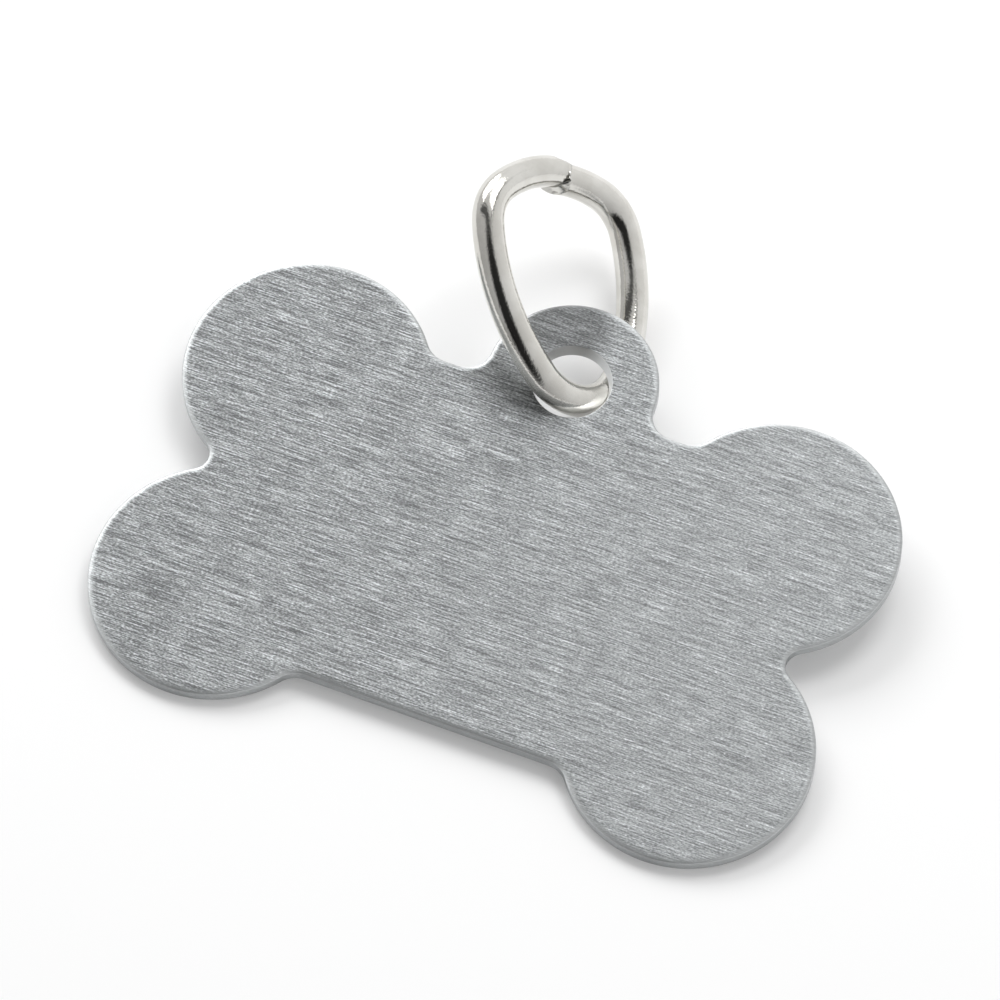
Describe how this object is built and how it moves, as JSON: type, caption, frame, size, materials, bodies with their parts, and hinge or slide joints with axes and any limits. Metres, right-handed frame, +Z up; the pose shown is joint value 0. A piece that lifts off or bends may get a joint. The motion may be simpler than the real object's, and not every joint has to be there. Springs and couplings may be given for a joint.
{
  "type": "pet id tag",
  "caption": "Blank bone-shaped metal pet tag with a bent-wire ring that tips in the hole of its lug, for hanging the tag on a collar.",
  "frame": {"origin": "on the table, under the middle of the whole object", "axes": "+X along the bone, +Y level towards the lug and the ring, +Z up from the table"},
  "size_m": [0.038, 0.0342, 0.0082],
  "materials": {
    "tag_aluminium": "brushed along the bone, edges tumbled smooth",
    "ring_nickel": "bright nickel plate on drawn wire"
  },
  "bodies": {
    "tag": {"tag_blank": "tag_aluminium"},
    "ring": {"jump_ring": "ring_nickel"}
  },
  "joints": [
    {"name": "ring_tip", "type": "hinge", "parent": "tag", "child": "ring", "pos_m": [0.00024, 0.00524, 0.00217], "axis": [-0.1599, 0.9838, 0.081], "range_deg": [0, 90]}
  ]
}
